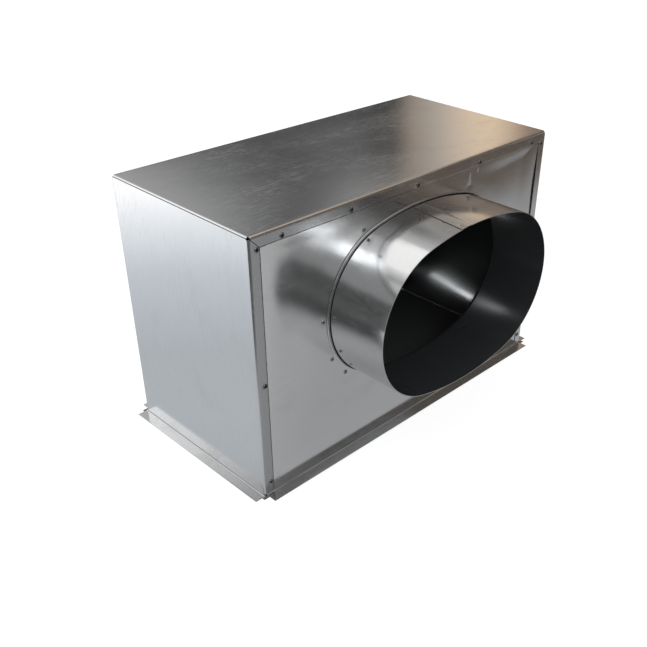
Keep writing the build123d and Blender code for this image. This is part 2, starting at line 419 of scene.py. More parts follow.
def relax_wrap(points):
    """Lets the flats hang in by a millimetre or so, more in some places, and dents the lips at the rivets."""
    moved = points.copy()
    x, y, z = points[..., 0], points[..., 1], points[..., 2]
    on_top = np.isclose(z, height, atol=1e-6)
    sag = 1.1 * MM * (0.6 + 0.4 * waves(x, y, 5)) * window(x, lip_end) * window(y, straight_half)
    moved[..., 2] = np.minimum(z, height - 0.02 * MM) - np.where(on_top, sag, 0)
    on_end = np.isclose(np.abs(x), half_width, atol=1e-6) & (z > flange_bend)
    middle = (height - CORNER_OUTSIDE + flange_bend) / 2
    hang = 1.0 * MM * (0.6 + 0.4 * waves(y, z, 9)) * window(z - middle, middle) * window(y, straight_half)
    moved[..., 0] -= np.where(on_end, np.sign(x) * hang, 0)
    on_lip = np.isclose(np.abs(y), lip_face, atol=1e-6) & (z > LIP_FOOT - 1e-6)
    near = rivet_distance(points.reshape(-1, 3)).reshape(x.shape)
    moved[..., 1] -= np.where(on_lip, np.sign(y) * 0.22 * MM * hump(near, 7 * MM), 0)
    return moved


# Front and back panels


def panel_outline():
    """Points round the panel's rectangle at even spacing, corners included, from the lower left, leftwards up."""
    across, up = round(2 * panel_half / GRID), round((panel_top - flange_bend) / GRID)
    low, high = flange_bend, panel_top
    return np.concatenate([
        line((-panel_half, low), (-panel_half, high), up)[:-1],
        line((-panel_half, high), (panel_half, high), across)[:-1],
        line((panel_half, high), (panel_half, low), up)[:-1],
        line((panel_half, low), (-panel_half, low), across),
    ])


def panel_dip(x, z, from_hole, from_edge):
    """How far the panel stands in, away from rim and lips."""
    free = smooth((from_hole - 17 * MM) / (45 * MM)) * smooth((from_edge - 16 * MM) / (45 * MM))
    dip = 1.3 * MM * free * (0.55 + 0.45 * waves(x, z, 21))
    return dip


def right_gape(x, z, low, high):
    """Gape of the panel behind the right lip between two rivets: a skewed half wave, fading inwards."""
    share = np.clip((z - low) / (high - low), 0, 1)
    return 1.7 * MM * np.sin(np.pi * share**1.5) * np.clip((x - 190 * MM) / (96 * MM), 0, 1) ** 2.2


def flange_strip(x_places):
    """Foot flange of a panel: bend and flat, carried along X."""
    section = chain(
        arc((-panel_face - FLANGE_INSIDE, flange_bend), FLANGE_INSIDE, 0, -90, 6),
        line((-panel_face - FLANGE_INSIDE, SHEET), (-flange_tip, SHEET), 6),
    )
    y, z = section[:, :1], section[:, 1:]
    points = np.stack(np.broadcast_arrays(x_places[None], y, z), -1)
    return Patch(points, np.stack(np.broadcast_arrays(x_places[None], y + 0.5), -1))


def front_panel_patches():
    """Rim, root fillet and flat between the oval and the rectangle, then the flange.

    Each column runs from the oval to one point of the rectangle; the flat is the straight blend of the two.
    """
    edge = panel_outline()
    heading = np.arctan2(edge[:, 1] - OVAL_Z, edge[:, 0] - OVAL_X)
    polar = np.unwrap(np.arctan2(dense_z - OVAL_Z, dense_x - OVAL_X))
    turn = np.interp((heading - polar[0]) % (2 * np.pi) + polar[0], polar, dense_turn)
    wall = HOLE_GAP + SHEET
    rim = chain(
        line((wall, -panel_face - RIM_HEIGHT), (wall, -panel_face - RIM_ROOT), 2),
        arc((wall + RIM_ROOT, -panel_face - RIM_ROOT), RIM_ROOT, 180, 90, 5),
    )
    rows = [np.stack([*oval_point(turn, growth), np.full(len(turn), y)], -1) for growth, y in rim]
    root = np.stack(oval_point(turn, wall + RIM_ROOT), -1)
    span = np.linalg.norm(edge - root, axis=1)
    share = np.linspace(0, 1, 27)[1:, None, None] ** 1.12
    flat = root[None] * (1 - share) + edge[None] * share
    x, z = flat[..., 0], flat[..., 1]
    dip = panel_dip(x, z, share[..., 0] * span, (1 - share[..., 0]) * span)
    side_rivets = np.sort(lip_rivets[(lip_rivets[:, 0] > 0.28) & (lip_rivets[:, 1] < 0), 2])
    dip = dip + right_gape(x, z, *side_rivets[1:3])
    for rivet in lip_rivets[lip_rivets[:, 1] < 0]:
        dip = dip + 0.22 * MM * hump(np.hypot(x - rivet[0], z - rivet[2]), 7 * MM)
    for rivet in collar_rivets:
        dip = dip + 0.3 * MM * hump(np.hypot(x - rivet[0], z - rivet[2]), 6 * MM) * smooth(share[..., 0] * span / (6 * MM))
    face = np.stack([x, z, dip - panel_face], -1)
    points = np.concatenate([np.stack(rows), face])[..., [0, 2, 1]]
    body = Patch(points, points[..., [0, 2]] + (0.9, 0), flip=True)
    bottom = np.sort(edge[np.isclose(edge[:, 1], flange_bend), 0])
    strip = flange_strip(np.unique(np.round(bottom, 9)))
    return [body, strip]


def back_panel_patches():
    """Plain rectangle on the outline's spacing, with its flange, mirrored to the back."""
    across, up = round(2 * panel_half / GRID), round((panel_top - flange_bend) / GRID)
    x, z = np.meshgrid(np.linspace(-panel_half, panel_half, across // 2 + 1),
                       np.linspace(panel_top, flange_bend, up // 2 + 1))
    edge = np.minimum(panel_half - np.abs(x), np.minimum(panel_top - z, z - flange_bend))
    dip = 1.3 * MM * smooth((edge - 16 * MM) / (60 * MM)) * (0.55 + 0.45 * waves(x, z, 33))
    for rivet in lip_rivets[lip_rivets[:, 1] > 0]:
        dip = dip + 0.22 * MM * hump(np.hypot(x - rivet[0], z - rivet[2]), 7 * MM)
    points = np.stack([x, dip - panel_face, z], -1)
    body = Patch(points, np.stack([x + 2.3, z], -1))
    strip = flange_strip(np.linspace(-panel_half, panel_half, across // 2 + 1))
    return [body.mirrored(1), strip.mirrored(1)]


# The oval collar


weld_marks = np.array([(-25, -209, 3.2), (-20, -235, 2.6), (-40, -232, 2.2)]) * MM  # X, Y and radius


def seam_shift(y):
    """Length along the oval at the seam for a Y: straight from base to mouth."""
    share = (y + lip_face) / (mouth + lip_face)
    x = SEAM_BASE + (SEAM_MOUTH - SEAM_BASE) * share
    return length_at(np.arccos(np.clip((x - OVAL_X) / OVAL_SIDE_RADIUS, -1, 1)))


def collar_patches():
    """Tube as length from the seam by Y, raised where it laps, with the lugs bent out at the back."""
    tube = line((0, mouth + 0.1 * MM), (0, -panel_face + SHEET - LUG_BEND), 42)
    bend = arc((LUG_BEND, -panel_face + SHEET - LUG_BEND), LUG_BEND, 180, 90, 4)
    lug = line((LUG_BEND, -panel_face + SHEET), (LUG_LENGTH, -panel_face + SHEET), 5)
    path = chain(tube, bend, lug)
    growth, y = path[:, :1], path[:, 1:]
    gap = 0.35 * MM
    from_seam = np.concatenate([[-gap, 0, 0.02 * MM], np.linspace(1.2 * MM, oval_girth - gap, COLLAR_COLUMNS)])
    column = from_seam[None]
    length = seam_shift(np.minimum(y, -lip_face)) - column
    turn = turn_at(length)
    lap = smooth((SEAM_LAP + SEAM_RUN_OUT - column) / SEAM_RUN_OUT)
    lap = np.where(column < 0.01 * MM, 0, lap) * SHEET
    groove = -0.25 * MM * (np.abs(column) < 0.01 * MM)
    fade = smooth((-lip_face - y) / (14 * MM))
    wave = 0.22 * MM * waves(length / 0.5, y / 0.3, 14, reach=2.0) * window(column - oval_girth / 2, oval_girth / 2)
    x, z = oval_point(turn, growth + (lap + groove + wave) * fade)
    for mark_x, mark_y, radius in weld_marks:
        near = np.hypot(x - mark_x, y - mark_y) + (z < OVAL_Z)
        z = z - 0.5 * MM * hump(near, radius)
    points = np.stack(np.broadcast_arrays(x, y, z), -1)
    place = np.stack(np.broadcast_arrays(y + 0.3, length), -1)
    middle = turn[len(tube) - 1]
    keep = np.ones((len(path) - 1, len(from_seam) - 1), bool)
    lug_column = np.zeros(len(from_seam) - 1, bool)
    for angle in np.radians(LUG_ANGLES):
        apart = np.abs((length_at(middle) - length_at(angle) + oval_girth / 2) % oval_girth - oval_girth / 2)
        lug_column |= ((apart[1:] + apart[:-1]) / 2 < LUG_WIDTH / 2)
    keep[len(tube) - 1:] = lug_column[None]
    return [Patch(points, place, keep, flip=True)]


def weld_distance(points):
    """Distance to the nearest weld mark on top of the collar, in radii of that mark."""
    apart = np.hypot(points[:, None, 0] - weld_marks[:, 0], points[:, None, 1] - weld_marks[:, 1]) / weld_marks[:, 2]
    return apart.min(1) + 100 * (points[:, 2] < OVAL_Z)


def seam_distance(points):
    """Signed distance across the collar's lap seam, positive on the lapped side."""
    turn = np.arctan2(points[:, 2] - OVAL_Z + side_centre, points[:, 0] - OVAL_X)
    top = points[:, 2] > OVAL_Z + OVAL_HALF_HEIGHT / 2
    return np.where(top, seam_shift(points[:, 1]) - length_at(np.clip(turn, 0, np.pi)), 1)


# Materials


class Nodes:
    """Adds and joins shader nodes in one tree. Numbers go onto sockets, and sockets are linked."""

    def __init__(self, tree):
        self.tree = tree

    def add(self, kind, sockets=(), **settings):
        node = self.tree.nodes.new("ShaderNode" + kind)
        for key, value in settings.items():
            setattr(node, key, value)
        for key, value in dict(sockets).items():
            self.feed(node.inputs[key], value)
        return node

    def feed(self, socket, value):
        if isinstance(value, bpy.types.NodeSocket):
            self.tree.links.new(value, socket)
        else:
            socket.default_value = value

    def math(self, operation, *values):
        return self.add("Math", enumerate(values), operation=operation).outputs[0]

    def vector(self, operation, *values):
        node = self.add("VectorMath", enumerate(values), operation=operation)
        return node.outputs["Value" if operation in ("LENGTH", "DISTANCE", "DOT_PRODUCT") else "Vector"]

    def stretch(self, vector, scale):
        return self.vector("MULTIPLY", vector, scale)

    def step(self, value, low, high, to_low=0.0, to_high=1.0):
        sockets = {"Value": value, "From Min": low, "From Max": high, "To Min": to_low, "To Max": to_high}
        return self.add("MapRange", sockets, interpolation_type="SMOOTHSTEP").outputs["Result"]

    def noise(self, vector, scale, detail=2.0, rough=0.5, **settings):
        sockets = {"Vector": vector, "Scale": scale, "Detail": detail, "Roughness": rough}
        return self.add("TexNoise", sockets, **settings).outputs["Fac"]

    def mix(self, share, first, second, blend_type="MIX"):
        node = self.add("Mix", {0: share, 6: first, 7: second}, data_type="RGBA", blend_type=blend_type)
        return node.outputs[2]

    def split(self, vector):
        return self.add("SeparateXYZ", {0: vector}).outputs


def effect_group(name, inputs, outputs):
    """An empty node group with its sockets; returns its tree's helper, its inputs and its output node."""
    tree = bpy.data.node_groups.new(name, "ShaderNodeTree")
    for label, kind, value in inputs:
        socket = tree.interface.new_socket(label, in_out="INPUT", socket_type="NodeSocket" + kind)
        if value is not None:
            socket.default_value = value
    for label, kind in outputs:
        tree.interface.new_socket(label, in_out="OUTPUT", socket_type="NodeSocket" + kind)
    nodes = Nodes(tree)
    return nodes, tree.nodes.new("NodeGroupInput").outputs, tree.nodes.new("NodeGroupOutput").inputs


def make_coat_group():
    """Zinc coat: spangle cells, rolling grain along the sheet, slow cloudy patches and a faint rolled waviness."""
    nodes, given, out = effect_group(
        "zinc coat",
        [("Place", "Vector", None), ("Spangle", "Float", 0.02), ("Cloud", "Float", 0.06), ("Grain", "Float", 0.03)],
        [("Tone", "Float"), ("Rough", "Float"), ("Height", "Float")],
    )
    place = nodes.vector("SCALE", given["Place"])
    place.node.inputs["Scale"].default_value = 1000
    warp = nodes.add("TexNoise", {"Vector": place, "Scale": 0.35, "Detail": 1.0}).outputs["Color"]
    bent = nodes.vector("MULTIPLY_ADD", warp, (2.2, 2.2, 2.2), place)
    cells = nodes.add("TexVoronoi", {"Vector": bent, "Scale": 0.38}, feature="F1")
    cell = nodes.split(cells.outputs["Color"])[0]
    fine = nodes.noise(place, 1.6, 3.0)
    cloud = nodes.noise(nodes.stretch(place, (0.6, 1.0, 1.0)), 0.021, 4.0, 0.55)
    grain = nodes.noise(nodes.stretch(place, (0.012, 1.3, 1.0)), 1.0, 3.0, 0.6)
    cell_part = nodes.math("MULTIPLY", nodes.math("SUBTRACT", cell, 0.5), given["Spangle"])
    cloud_part = nodes.math("MULTIPLY", nodes.math("SUBTRACT", cloud, 0.5), given["Cloud"])
    grain_part = nodes.math("MULTIPLY", nodes.math("SUBTRACT", grain, 0.5), given["Grain"])
    tone = nodes.math("ADD", nodes.math("ADD", cell_part, cloud_part), nodes.math("ADD", grain_part, 1.0))
    rough = nodes.math("ADD", cell_part, nodes.math("MULTIPLY", cloud_part, 1.3))
    rough = nodes.math("ADD", rough, nodes.math("MULTIPLY", nodes.math("SUBTRACT", fine, 0.5), 0.05))
    height = nodes.noise(nodes.stretch(place, (0.03, 0.20, 1.0)), 1.0, 0.0)
    for label, value in (("Tone", tone), ("Rough", rough), ("Height", height)):
        nodes.feed(out[label], value)
    return nodes.tree


def make_scratch_group():
    """Hairline scratches: thin ridges of stretched noise along two headings, broken up in patches."""
    nodes, given, out = effect_group(
        "hairline scratches", [("Place", "Vector", None), ("Amount", "Float", 0.5)], [("Mask", "Float")])
    masks = []
    for turn, length, width, cover in ((0.06, 0.028, 0.75, 0.56), (0.55, 0.035, 0.6, 0.6), (-1.1, 0.04, 0.6, 0.62)):
        turned = nodes.add("VectorRotate", {"Vector": given["Place"], "Angle": turn}, rotation_type="Z_AXIS")
        wide = nodes.stretch(turned.outputs[0], (length * 1000, width * 1000, 1))
        ridge = nodes.math("ABSOLUTE", nodes.math("SUBTRACT", nodes.noise(wide, 1.0, 1.0), 0.5))
        thin = nodes.step(ridge, 0.0, 0.012, 1.0, 0.0)
        patch = nodes.noise(nodes.stretch(turned.outputs[0], (9, 26, 1)), 1.0, 2.0)
        masks.append(nodes.math("MULTIPLY", thin, nodes.step(patch, cover, cover + 0.1)))
    both = nodes.math("MAXIMUM", nodes.math("MAXIMUM", masks[0], masks[1]), masks[2])
    nodes.feed(out["Mask"], nodes.math("MULTIPLY", both, given["Amount"]))
    return nodes.tree


def make_wipe_group():
    """Dusty wipes: pale streaks along the sheet and short slanting rubs, thick in some patches and thin in others."""
    nodes, given, out = effect_group(
        "dusty wipes", [("Place", "Vector", None), ("Amount", "Float", 0.3)], [("Mask", "Float")])
    place = given["Place"]
    slanted = nodes.add("VectorRotate", {"Vector": place, "Angle": 0.3}, rotation_type="Z_AXIS").outputs[0]
    long = nodes.step(nodes.noise(nodes.stretch(place, (34, 210, 1)), 1.0, 3.0, 0.6), 0.49, 0.70)
    short = nodes.step(nodes.noise(nodes.stretch(slanted, (70, 320, 1)), 1.0, 2.0, 0.6), 0.52, 0.70)
    patch = nodes.step(nodes.noise(nodes.stretch(place, (6, 11, 1)), 1.0, 3.0, 0.6), 0.40, 0.64)
    streaks = nodes.math("MULTIPLY", nodes.math("MAXIMUM", long, short), nodes.math("ADD", patch, 0.25))
    both = nodes.math("ADD", streaks, nodes.math("MULTIPLY", patch, 0.12))
    nodes.feed(out["Mask"], nodes.math("MULTIPLY", both, given["Amount"]))
    return nodes.tree


def make_dark_band_group():
    """Dark band round a distance of nought, broken up by noise: grime in some uses, painted shade in others."""
    nodes, given, out = effect_group(
        "grime line", [("Distance", "Float", 1.0), ("Width", "Float", 0.001), ("Place", "Vector", None)],
        [("Mask", "Float")])
    broken = nodes.noise(given["Place"], 160.0, 3.0, 0.6)
    width = nodes.math("MULTIPLY", given["Width"], nodes.step(broken, 0.3, 0.7, 0.7, 1.25))
    away = nodes.math("DIVIDE", nodes.math("ABSOLUTE", given["Distance"]), width)
    nodes.feed(out["Mask"], nodes.step(away, 0.55, 1.25, 1.0, 0.0))
    return nodes.tree


coat_group, scratch_group = make_coat_group(), make_scratch_group()
wipe_group, dark_band_group = make_wipe_group(), make_dark_band_group()


def use_group(nodes, group, **values):
    node = nodes.tree.nodes.new("ShaderNodeGroup")
    node.node_tree = group
    for label, value in values.items():
        nodes.feed(node.inputs[label], value)
    return node.outputs


def new_material(name, **plain):
    """A material with its shader's plain values set on the shader's own sockets."""
    material = bpy.data.materials.new(name)
    material.use_nodes = True
    material.node_tree.nodes.clear()
    nodes = Nodes(material.node_tree)
    shader = nodes.add("BsdfPrincipled", {label.replace("_", " "): value for label, value in plain.items()})
    end = nodes.add("OutputMaterial", {"Surface": shader.outputs[0]})
    return material, nodes, shader


def attribute(nodes, name):
    return nodes.add("Attribute", attribute_name=name).outputs


def zinc(name, colour, rough, grime_and_shade=None, cloud=0.05, scratches=0.3, dust=0.2):
    """Galvanised sheet: zinc coat, scratches, smudges and dusty wipes, with painted highlights near the rivets on the
    wrap and panels, and darkening where the grime_and_shade function says: grime in some marks, painted shade in
    others.
    """
    material, nodes, shader = new_material(name)
    place = attribute(nodes, "sheet_place")["Vector"]
    coat = use_group(nodes, coat_group, Place=place, Cloud=cloud)
    scratch = use_group(nodes, scratch_group, Place=place, Amount=scratches)["Mask"]
    dust_and_glints = use_group(nodes, wipe_group, Place=place, Amount=dust)["Mask"]
    if grime_and_shade in (panel_shade_and_marks, wrap_lines):
        # painted highlights: lighter spots under the lip rivets, joined to the dusty wipes
        dust_and_glints = nodes.math("MAXIMUM", dust_and_glints, attribute(nodes, "painted_rivet_glints")["Fac"])
    if grime_and_shade is panel_shade_and_marks:
        # painted highlights: pale glare spots on the front
        dust_and_glints = nodes.math("MAXIMUM", dust_and_glints, front_glare_spots(nodes))
    smudge = nodes.step(nodes.noise(nodes.stretch(place, (1, 1.6, 1)), 11.0, 5.0, 0.62), 0.52, 0.74)
    tone = nodes.math("ADD", coat["Tone"], nodes.math("MULTIPLY", scratch, 0.08))
    base = nodes.mix(smudge, (*colour, 1), (colour[0] * 0.95, colour[1] * 0.95, colour[2] * 0.93, 1))
    base = nodes.mix(1.0, base, nodes.add("CombineColor", {0: tone, 1: tone, 2: tone}).outputs[0], "MULTIPLY")
    metallic = nodes.math("SUBTRACT", 1.0, nodes.math("MULTIPLY", dust_and_glints, 0.35))
    roughness = nodes.math("ADD", coat["Rough"], nodes.math("MULTIPLY", scratch, 0.06))
    roughness = nodes.math("ADD", roughness, nodes.math("MULTIPLY", smudge, 0.03))
    roughness = nodes.math("ADD", roughness, nodes.math("MULTIPLY", dust_and_glints, 0.1))
    roughness = nodes.math("ADD", roughness, rough)
    if grime_and_shade in (panel_shade_and_marks, wrap_lines):
        haze = attribute(nodes, "shoulder_haze")["Fac"]
        roughness = nodes.math("ADD", roughness, nodes.math("MULTIPLY", haze, 0.08))
    # darkening: grime in some marks, painted shade in gaps, seams and on the rim in others
    if grime_and_shade:
        grime_and_shade_mask = grime_and_shade(nodes)
        base = nodes.mix(grime_and_shade_mask, base, (0.035, 0.032, 0.03, 1))
        roughness = nodes.math("ADD", roughness, nodes.math("MULTIPLY", grime_and_shade_mask, 0.25))
        metallic = nodes.math("SUBTRACT", metallic, nodes.math("MULTIPLY", grime_and_shade_mask, 0.7))
    nodes.feed(shader.inputs["Base Color"], base)
    nodes.feed(shader.inputs["Metallic"], metallic)
    nodes.feed(shader.inputs["Roughness"], roughness)
    bump = nodes.add("Bump", {"Strength": 0.3, "Distance": 0.05 * MM, "Height": coat["Height"]})
    nodes.feed(shader.inputs["Normal"], bump.outputs[0])
    return material


def rivet_dark_ring(nodes):
    """Dark ring round the rivet heads."""
    near = attribute(nodes, "rivet_distance")["Fac"]
    place = attribute(nodes, "sheet_place")["Vector"]
    ring = nodes.math("SUBTRACT", near, 3.2 * MM)
    return use_group(nodes, dark_band_group, Distance=ring, Width=1.2 * MM, Place=place)["Mask"]


RING_MARK = (113.7 * MM, 373.4 * MM)  # across and up, on the front
# painted highlights on the front: middles, across and up, and sizes of the glare spots
FRONT_GLARE_SPOTS = (((112.0 * MM, 356.0 * MM), (3.4 * MM, 10.5 * MM)), ((129.8 * MM, 364.5 * MM), (2.6 * MM, 5.0 * MM)))


def distance_from(nodes, middle, sizes=(1.0, 1.0)):
    """Distance from a place on the front, across and up, in shares of the two sizes. Far away behind the middle."""
    x, y, z = nodes.split(nodes.add("TexCoord").outputs["Object"])
    squares = []
    for value, centre, size in ((x, middle[0], sizes[0]), (z, middle[1], sizes[1])):
        away = nodes.math("DIVIDE", nodes.math("SUBTRACT", value, centre), size)
        squares.append(nodes.math("MULTIPLY", away, away))
    away = nodes.math("SQRT", nodes.math("ADD", squares[0], squares[1]))
    return nodes.math("ADD", away, nodes.math("MULTIPLY", nodes.math("GREATER_THAN", y, 0.0), 100.0))


def front_glare_spots(nodes):
    """Painted highlights on the front: pale spots for glare above the collar's top right rivet and under the lip's
    rivet beside it.
    """
    first, second = (nodes.step(distance_from(nodes, *spot), 0.55, 1.05, 0.8, 0.0) for spot in FRONT_GLARE_SPOTS)
    return nodes.math("MAXIMUM", first, second)


def ring_mark(nodes):
    """Faint ring printed in grime across the edge of the front's top lip."""
    ring = nodes.math("SUBTRACT", distance_from(nodes, RING_MARK), 2.9 * MM)
    place = nodes.add("TexCoord").outputs["Object"]
    return nodes.math("MULTIPLY", use_group(nodes, dark_band_group, Distance=ring, Width=1.5 * MM, Place=place)["Mask"], 0.5)


def wrap_lines(nodes):
    """Dark ring round the rivets, the ring mark, and a thin dull film on the lips towards the left corner."""
    x, y, z = nodes.split(nodes.add("TexCoord").outputs["Object"])
    on_lip = nodes.step(nodes.math("ABSOLUTE", y), lip_face - 1.0 * MM, lip_face - 0.3 * MM)
    film = nodes.math("MULTIPLY", on_lip, nodes.step(x, -0.25, -0.10, 0.40, 0.0))
    film = nodes.math("MAXIMUM", film, ring_mark(nodes))
    return nodes.math("MAXIMUM", nodes.math("MULTIPLY", rivet_dark_ring(nodes), 0.85), film)


def panel_shade_and_marks(nodes):
    """Painted shade, with some grime, in a line beside the free edges of the lips; painted shade in the mitre gaps and
    on the rim round the collar; the ring mark; and the dark ring round the rivets.
    """
    place = nodes.add("TexCoord").outputs["Object"]
    x, y, z = nodes.split(place)
    top = nodes.math("ADD", z, LIP_WIDTH + 0.6 * MM - height)
    side = nodes.math("ADD", nodes.math("ABSOLUTE", x), LIP_WIDTH + 0.9 * MM - half_width)
    nearest = nodes.math("MAXIMUM", top, side)
    # painted shade, with some grime, in a thin line beside the lips' free edges
    shaded_line = use_group(nodes, dark_band_group, Distance=nearest, Width=0.9 * MM, Place=place)["Mask"]
    shaded_line = nodes.math("MULTIPLY", shaded_line, nodes.math("GREATER_THAN", z, LIP_FOOT))
    fade = nodes.math("MAXIMUM", nodes.step(x, -0.06, 0.08, 1.0, 0.3), nodes.step(x, 0.268, 0.276))
    shaded_line = nodes.math("MULTIPLY", shaded_line, fade)
    # painted shade in the mitre gaps at the corners
    mitre = nodes.math("SUBTRACT", top, side)
    corner = nodes.math("GREATER_THAN", nodes.math("MINIMUM", top, side), -0.001)
    mitre_shade = use_group(nodes, dark_band_group, Distance=mitre, Width=1.7 * MM, Place=place)["Mask"]
    mitre_shade = nodes.math("MULTIPLY", mitre_shade, corner)
    seams = nodes.math("MULTIPLY", nodes.math("MAXIMUM", shaded_line, mitre_shade), 0.95)
    # painted shade on the rim round the collar, for the shadowed gap beside the tube
    rim = nodes.math("MULTIPLY", nodes.step(y, -panel_face - 1.6 * MM, -panel_face - 0.5 * MM, 0.65, 0.0),
                     nodes.math("GREATER_THAN", z, OVAL_Z - 2 * OVAL_HALF_HEIGHT + 30 * MM))
    seams = nodes.math("MAXIMUM", nodes.math("MAXIMUM", seams, rim), ring_mark(nodes))
    return nodes.math("MAXIMUM", seams, nodes.math("MULTIPLY", rivet_dark_ring(nodes), 0.8))


def collar_shade_and_welds(nodes):
    """Painted shade in the gap beside the lap seam, burnt weld marks, and a dark band where the tube goes into the rim:
    painted shade for that gap, with some grime.
    """
    place = attribute(nodes, "sheet_place")["Vector"]
    # painted shade in the gap under the lap's edge
    seam = nodes.math("ADD", attribute(nodes, "seam_distance")["Fac"], 0.45 * MM)
    seam_shade = use_group(nodes, dark_band_group, Distance=seam, Width=0.8 * MM, Place=place)["Mask"]
    weld = use_group(nodes, dark_band_group, Distance=attribute(nodes, "weld_distance")["Fac"], Width=0.9, Place=place)["Mask"]
    marks = nodes.math("MAXIMUM", nodes.math("MULTIPLY", seam_shade, 0.9), nodes.math("MULTIPLY", weld, 0.85))
    y = nodes.split(nodes.add("TexCoord").outputs["Object"])[1]
    # painted shade, with some grime, where the tube goes into the rim
    return nodes.math("MAXIMUM", marks, nodes.step(y, -panel_face - 4.4 * MM, -panel_face - 3.6 * MM, 0.0, 0.97))


def black_paint(name, tone, roughness, end_shade=False):
    """Satin black paint over sheet: fine stipple, slow patches and a few scuffs.

    end_shade adds the deep black band where the collar's tube ends at the panel: painted shade for the gap there.
    """
    material, nodes, shader = new_material(name, Metallic=0.0, Specular_IOR_Level=0.4)
    place = attribute(nodes, "sheet_place")["Vector"]
    stipple = nodes.noise(place, 430.0, 2.0, 0.6)
    patch = nodes.noise(place, 9.0, 3.0)
    scuff = use_group(nodes, scratch_group, Place=place, Amount=0.5)["Mask"]
    colour = nodes.mix(scuff, (tone * 0.97, tone, tone * 1.04, 1), (0.06, 0.06, 0.06, 1))
    roughness = nodes.step(patch, 0.3, 0.7, roughness, roughness + 0.1)
    if end_shade:
        y = nodes.split(nodes.add("TexCoord").outputs["Object"])[1]
        # painted shade: deep black band where the tube ends at the panel
        shaded_line = nodes.step(nodes.math("ABSOLUTE", nodes.math("ADD", y, panel_face)), 2.2 * MM, 3.0 * MM, 1.0, 0.0)
        colour = nodes.mix(shaded_line, colour, (0.001, 0.001, 0.001, 1))
        roughness = nodes.math("ADD", roughness, nodes.math("MULTIPLY", shaded_line, 0.5))
    nodes.feed(shader.inputs["Base Color"], colour)
    nodes.feed(shader.inputs["Roughness"], roughness)
    bump = nodes.add("Bump", {"Strength": 0.5, "Distance": 0.07 * MM, "Height": stipple})
    nodes.feed(shader.inputs["Normal"], bump.outputs[0])
    return material


def cut_edge():
    """Sheared edge of the sheet: brighter burnished band and dull torn band."""
    material, nodes, shader = new_material("cut_edge", Metallic=1.0)
    place = nodes.add("TexCoord").outputs["Object"]
    torn = nodes.noise(place, 700.0, 3.0, 0.6)
    nodes.feed(shader.inputs["Base Color"], nodes.mix(torn, (0.42, 0.41, 0.40, 1), (0.78, 0.77, 0.75, 1)))
    nodes.feed(shader.inputs["Roughness"], nodes.step(torn, 0.3, 0.7, 0.3, 0.5))
    bump = nodes.add("Bump", {"Strength": 0.4, "Distance": 0.05 * MM, "Height": torn})
    nodes.feed(shader.inputs["Normal"], bump.outputs[0])
    return material


def rivet_metal(name, dark, bright, rough, dirt_and_shade=0.0):
    """Formed rivet metal: handling scuffs, grime in patches and, on the heads, a dark disc over the dish out to near
    the foot: part dirt, part painted shade.
    """
    material, nodes, shader = new_material(name, Metallic=1.0)
    place = nodes.add("TexCoord").outputs["Object"]
    scuff = nodes.noise(place, 1100.0, 3.0, 0.6)
    patch = nodes.noise(place, 260.0, 2.0)
    worn = nodes.math("MULTIPLY", scuff, nodes.step(patch, 0.35, 0.65, 0.5, 1.2))
    colour = nodes.mix(worn, (*dark, 1), (*bright, 1))
    roughness = nodes.step(scuff, 0.3, 0.7, rough, rough + 0.18)
    if dirt_and_shade:
        # painted shade and dirt: the head goes near black out to near its foot
        away = attribute(nodes, "axis_distance")["Fac"]
        uneven = nodes.math("ADD", away, nodes.step(patch, 0.3, 0.7, -0.25 * MM, 0.25 * MM))
        grime_and_shade_mask = nodes.math("MULTIPLY", nodes.step(uneven, 2.5 * MM, 3.0 * MM, 1.0, 0.0), dirt_and_shade)
        colour = nodes.mix(grime_and_shade_mask, colour, (0.008, 0.008, 0.008, 1))
        roughness = nodes.math("ADD", roughness, nodes.math("MULTIPLY", grime_and_shade_mask, 0.3))
        nodes.feed(shader.inputs["Metallic"], nodes.math("SUBTRACT", 1.0, grime_and_shade_mask))
    nodes.feed(shader.inputs["Base Color"], colour)
    nodes.feed(shader.inputs["Roughness"], roughness)
    bump = nodes.add("Bump", {"Strength": 0.4, "Distance": 0.06 * MM, "Height": scuff})
    nodes.feed(shader.inputs["Normal"], bump.outputs[0])
    return material


ZINC = (0.70, 0.705, 0.71)
# one black paint in two copies: the box's is lighter so its far walls read brighter, the collar's darker, which is
# painted light and shade
painted = black_paint("satin_black_inside", 0.07, 0.13)
collar_painted = black_paint("satin_black_collar", 0.052, 0.18, end_shade=True)
edge_metal = cut_edge()
wrap_zinc = zinc("galvanised_wrap", ZINC, 0.13, wrap_lines, dust=0.33)
panel_zinc = zinc("galvanised_panel", ZINC, 0.16, panel_shade_and_marks)
collar_zinc = zinc("galvanised_collar", ZINC, 0.15, collar_shade_and_welds, dust=0.15)

patches = wrap_patches()
for patch in patches:
    patch.points = relax_wrap(patch.points)
lip_marks = {"rivet_distance": rivet_distance, "painted_rivet_glints": painted_rivet_glints, "shoulder_haze": shoulder_haze}
pieces = {
    "casing_wrap_sheet": (patches, wrap_zinc, lip_marks, "casing_wrap"),
    "front_panel_sheet": (front_panel_patches(), panel_zinc, lip_marks, "front_panel"),
    "back_panel_sheet": (back_panel_patches(), panel_zinc, lip_marks, "back_panel"),
    "oval_collar_sheet": (collar_patches(), collar_zinc,
                          {"weld_distance": weld_distance, "seam_distance": seam_distance}, "oval_collar"),
}
for name, (patches, outside, marks, node) in pieces.items():
    inside = collar_painted if node == "oval_collar" else painted
    piece = sheet_piece(name, patches, [outside, inside, edge_metal], marks)
    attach(piece, "root")
    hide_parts(node)

